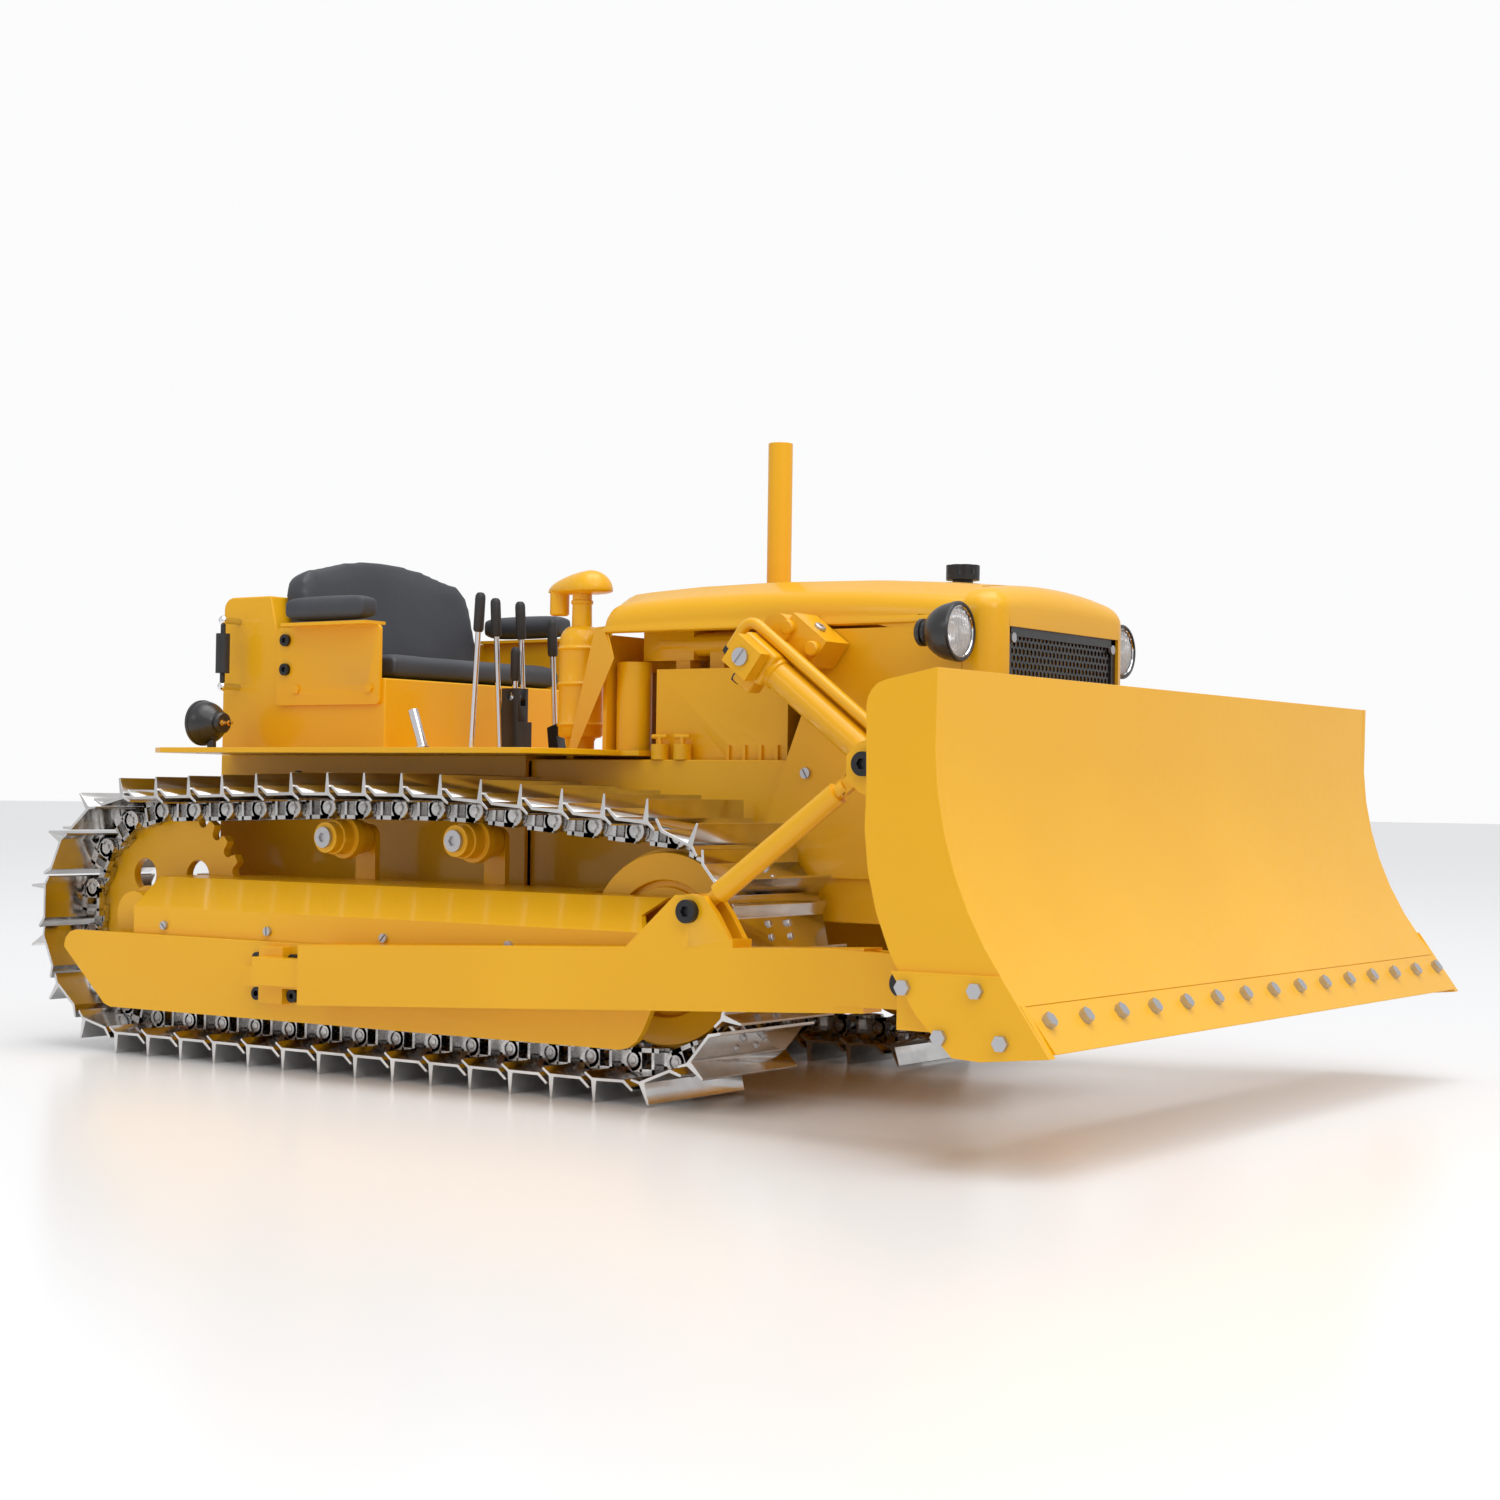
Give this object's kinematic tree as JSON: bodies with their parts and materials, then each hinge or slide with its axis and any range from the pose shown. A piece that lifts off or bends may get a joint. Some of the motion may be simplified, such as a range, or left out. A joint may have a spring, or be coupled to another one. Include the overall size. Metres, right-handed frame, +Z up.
{
  "type": "radio-controlled crawler bulldozer",
  "caption": "Radio-controlled crawler bulldozer with steel tracks, a lifting blade on push arms, lift cylinders, an open seat with control levers, and a long engine hood.",
  "frame": {"origin": "on the ground under the middle of the machine's box", "axes": "+X forward towards the blade, +Y to the operator's left, +Z up"},
  "size_m": [0.388, 0.2644, 0.186],
  "materials": {
    "yellow_paint": "glossy orange-yellow paint",
    "black_plastic": "satin black",
    "black_steel": "black oxide steel",
    "vinyl": "dark grey vinyl over foam",
    "lens": "clear fluted lens",
    "chrome": "polished chrome",
    "track_steel": "polished machined steel",
    "bolt_steel": "plain steel with black grips on the levers",
    "battery_wrap": "shrink wrap",
    "motor_steel": "plated motor cans"
  },
  "bodies": {
    "chassis": {"main_frame": "yellow_paint", "rear_case": "yellow_paint", "deck": "yellow_paint", "side_panels": "yellow_paint", "hood": "yellow_paint", "radiator_shell": "yellow_paint", "grille": "black_plastic", "engine_block": "yellow_paint", "exhaust_pipe": "yellow_paint", "air_cleaner": "yellow_paint", "lamp_shells": "black_plastic", "lamp_lenses": "lens", "seat_box": "yellow_paint", "seat_cushion": "vinyl", "seat_back": "vinyl", "armrest_brackets": "yellow_paint", "armrest_pads": "vinyl", "grab_handle": "chrome", "control_pedestal": "black_plastic", "track_frames": "yellow_paint", "track_covers": "yellow_paint", "guard_plates": "yellow_paint", "track_shoes": "track_steel", "track_links": "track_steel", "lift_brackets": "yellow_paint", "socket_screws": "black_steel", "steel_screws": "bolt_steel", "drawbar": "yellow_paint", "battery_pack": "battery_wrap", "motors_and_pump": "motor_steel"},
    "blade": {"moldboard": "yellow_paint", "end_plates": "yellow_paint", "cutting_edge": "yellow_paint", "blade_bolts": "bolt_steel", "push_arms": "yellow_paint", "braces": "yellow_paint"},
    "sprocket_right": {"sprocket_right": "yellow_paint"},
    "idler_right": {"idler_right": "yellow_paint"},
    "carrier_roller_right_rear": {"carrier_roller_right_rear": "yellow_paint"},
    "carrier_roller_right_front": {"carrier_roller_right_front": "yellow_paint"},
    "bottom_roller_right_rear": {"bottom_roller_right_rear": "yellow_paint"},
    "bottom_roller_right_middle": {"bottom_roller_right_middle": "yellow_paint"},
    "bottom_roller_right_front": {"bottom_roller_right_front": "yellow_paint"},
    "sprocket_left": {"sprocket_left": "yellow_paint"},
    "idler_left": {"idler_left": "yellow_paint"},
    "carrier_roller_left_rear": {"carrier_roller_left_rear": "yellow_paint"},
    "carrier_roller_left_front": {"carrier_roller_left_front": "yellow_paint"},
    "bottom_roller_left_rear": {"bottom_roller_left_rear": "yellow_paint"},
    "bottom_roller_left_middle": {"bottom_roller_left_middle": "yellow_paint"},
    "bottom_roller_left_front": {"bottom_roller_left_front": "yellow_paint"},
    "lift_barrel_right": {"lift_barrel_right": "yellow_paint"},
    "lift_rod_right": {"lift_rod_right": "chrome"},
    "lift_barrel_left": {"lift_barrel_left": "yellow_paint"},
    "lift_rod_left": {"lift_rod_left": "chrome"},
    "radiator_cap": {"radiator_cap": "black_steel"},
    "clutch_lever": {"clutch_lever": "bolt_steel"},
    "right_steering_lever": {"right_steering_lever": "bolt_steel"},
    "left_steering_lever": {"left_steering_lever": "bolt_steel"},
    "gear_lever": {"gear_lever": "bolt_steel"},
    "throttle_lever": {"throttle_lever": "bolt_steel"}
  },
  "joints": [
    {"name": "sprocket_right_spin", "type": "hinge", "parent": "chassis", "child": "sprocket_right", "pos_m": [-0.15237, -0.063, 0.04246], "axis": [0, 1, 0], "continuous": true},
    {"name": "idler_right_spin", "type": "hinge", "parent": "chassis", "child": "idler_right", "pos_m": [0.04479, -0.063, 0.04061], "axis": [0, 1, 0], "continuous": true},
    {"name": "carrier_roller_right_rear_spin", "type": "hinge", "parent": "chassis", "child": "carrier_roller_right_rear", "pos_m": [-0.07837, -0.063, 0.068], "axis": [0, 1, 0], "continuous": true},
    {"name": "carrier_roller_right_front_spin", "type": "hinge", "parent": "chassis", "child": "carrier_roller_right_front", "pos_m": [-0.02737, -0.063, 0.068], "axis": [0, 1, 0], "continuous": true},
    {"name": "bottom_roller_right_rear_spin", "type": "hinge", "parent": "chassis", "child": "bottom_roller_right_rear", "pos_m": [-0.11837, -0.063, 0.01945], "axis": [0, 1, 0], "continuous": true},
    {"name": "bottom_roller_right_middle_spin", "type": "hinge", "parent": "chassis", "child": "bottom_roller_right_middle", "pos_m": [-0.05737, -0.063, 0.01945], "axis": [0, 1, 0], "continuous": true},
    {"name": "bottom_roller_right_front_spin", "type": "hinge", "parent": "chassis", "child": "bottom_roller_right_front", "pos_m": [0.00363, -0.063, 0.01945], "axis": [0, 1, 0], "continuous": true},
    {"name": "sprocket_left_spin", "type": "hinge", "parent": "chassis", "child": "sprocket_left", "pos_m": [-0.15237, 0.063, 0.04246], "axis": [0, 1, 0], "continuous": true},
    {"name": "idler_left_spin", "type": "hinge", "parent": "chassis", "child": "idler_left", "pos_m": [0.04479, 0.063, 0.04061], "axis": [0, 1, 0], "continuous": true},
    {"name": "carrier_roller_left_rear_spin", "type": "hinge", "parent": "chassis", "child": "carrier_roller_left_rear", "pos_m": [-0.07837, 0.063, 0.068], "axis": [0, 1, 0], "continuous": true},
    {"name": "carrier_roller_left_front_spin", "type": "hinge", "parent": "chassis", "child": "carrier_roller_left_front", "pos_m": [-0.02737, 0.063, 0.068], "axis": [0, 1, 0], "continuous": true},
    {"name": "bottom_roller_left_rear_spin", "type": "hinge", "parent": "chassis", "child": "bottom_roller_left_rear", "pos_m": [-0.11837, 0.063, 0.01945], "axis": [0, 1, 0], "continuous": true},
    {"name": "bottom_roller_left_middle_spin", "type": "hinge", "parent": "chassis", "child": "bottom_roller_left_middle", "pos_m": [-0.05737, 0.063, 0.01945], "axis": [0, 1, 0], "continuous": true},
    {"name": "bottom_roller_left_front_spin", "type": "hinge", "parent": "chassis", "child": "bottom_roller_left_front", "pos_m": [0.00363, 0.063, 0.01945], "axis": [0, 1, 0], "continuous": true},
    {"name": "blade_lift", "type": "hinge", "parent": "chassis", "child": "blade", "pos_m": [-0.05537, 0, 0.0296], "axis": [0, -1, 0], "range_deg": [-5.8, 7]},
    {"name": "lift_barrel_right_swing", "type": "hinge", "parent": "chassis", "child": "lift_barrel_right", "pos_m": [0.06763, -0.058, 0.1187], "axis": [0, -1, 0], "range_deg": [-9, 11]},
    {"name": "lift_rod_right_slide", "type": "slide", "parent": "lift_barrel_right", "child": "lift_rod_right", "axis": [0.7989, 0, -0.6015], "range_m": [-0.018, 0.015]},
    {"name": "lift_barrel_left_swing", "type": "hinge", "parent": "chassis", "child": "lift_barrel_left", "pos_m": [0.06763, 0.058, 0.1187], "axis": [0, -1, 0], "range_deg": [-9, 11]},
    {"name": "lift_rod_left_slide", "type": "slide", "parent": "lift_barrel_left", "child": "lift_rod_left", "axis": [0.7989, 0, -0.6015], "range_m": [-0.018, 0.015]},
    {"name": "radiator_cap_turn", "type": "hinge", "parent": "chassis", "child": "radiator_cap", "pos_m": [0.09613, 0, 0.143], "axis": [0, 0, 1], "range_deg": [0, 90]},
    {"name": "clutch_lever_swing", "type": "hinge", "parent": "chassis", "child": "clutch_lever", "pos_m": [-0.05737, -0.032, 0.084], "axis": [0, 1, 0], "range_deg": [-10, 8]},
    {"name": "right_steering_lever_swing", "type": "hinge", "parent": "chassis", "child": "right_steering_lever", "pos_m": [-0.05737, -0.017, 0.084], "axis": [0, 1, 0], "range_deg": [-8, 10]},
    {"name": "left_steering_lever_swing", "type": "hinge", "parent": "chassis", "child": "left_steering_lever", "pos_m": [-0.05737, -0.005, 0.084], "axis": [0, 1, 0], "range_deg": [-8, 10]},
    {"name": "gear_lever_swing", "type": "hinge", "parent": "chassis", "child": "gear_lever", "pos_m": [-0.05737, 0.01, 0.084], "axis": [0, 1, 0], "range_deg": [-8, 10]},
    {"name": "throttle_lever_swing", "type": "hinge", "parent": "chassis", "child": "throttle_lever", "pos_m": [-0.05737, -0.011, 0.112], "axis": [0, 1, 0], "range_deg": [-25, 25]}
  ],
  "couplings": [
    {"joint": "lift_barrel_right_swing", "follows": "blade_lift", "ratio": 1.4327},
    {"joint": "lift_rod_right_slide", "follows": "blade_lift", "m_per_rad": -0.14312},
    {"joint": "lift_barrel_left_swing", "follows": "blade_lift", "ratio": 1.4327},
    {"joint": "lift_rod_left_slide", "follows": "blade_lift", "m_per_rad": -0.14312}
  ]
}
